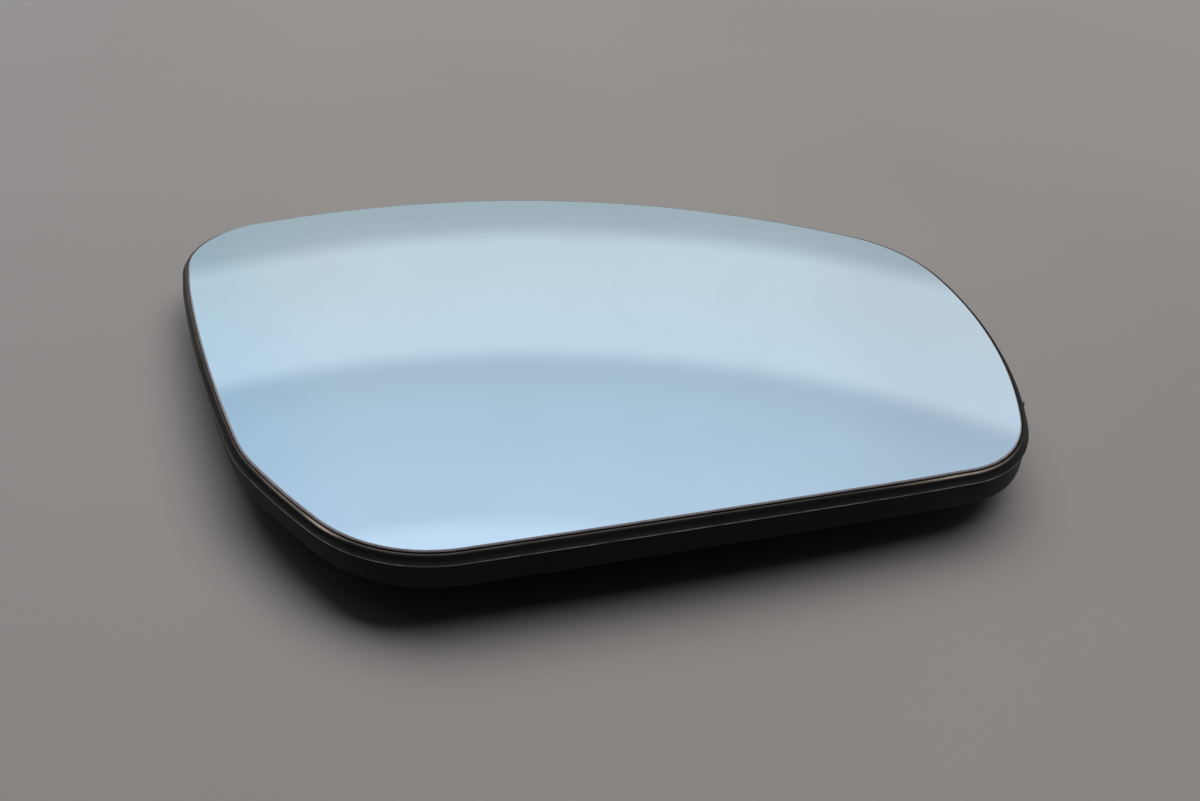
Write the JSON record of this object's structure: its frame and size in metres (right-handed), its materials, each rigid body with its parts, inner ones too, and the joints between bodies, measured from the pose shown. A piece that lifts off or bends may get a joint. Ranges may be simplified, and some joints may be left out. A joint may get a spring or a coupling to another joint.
{
  "type": "car door mirror glass",
  "caption": "Convex blue-tinted mirror glass set in a black moulded carrier with a lipped rim, a heater film and a rear clip ring that snaps onto the mirror's adjuster.",
  "frame": {"origin": "centre of the rear clip ring, on the plane of its end face, which the part rests on", "axes": "+Z out of the glass; +X along the flat lower edge, away from the door; +Y up across the glass as fitted"},
  "size_m": [0.1806, 0.1249, 0.0168],
  "materials": {
    "tinted_mirror": "polished, blue tint",
    "black_moulding": "fine moulded grain",
    "printed_film": "clear film with printed tracks",
    "adhesive_sheet": "soft adhesive foam",
    "tinned_blade": "tin plated"
  },
  "bodies": {
    "root": {"mirror_glass": "tinted_mirror", "backing_plate": "black_moulding", "heater_film": "printed_film", "adhesive_pad": "adhesive_sheet", "heater_terminal_upper": "tinned_blade", "heater_terminal_lower": "tinned_blade"}
  },
  "joints": []
}
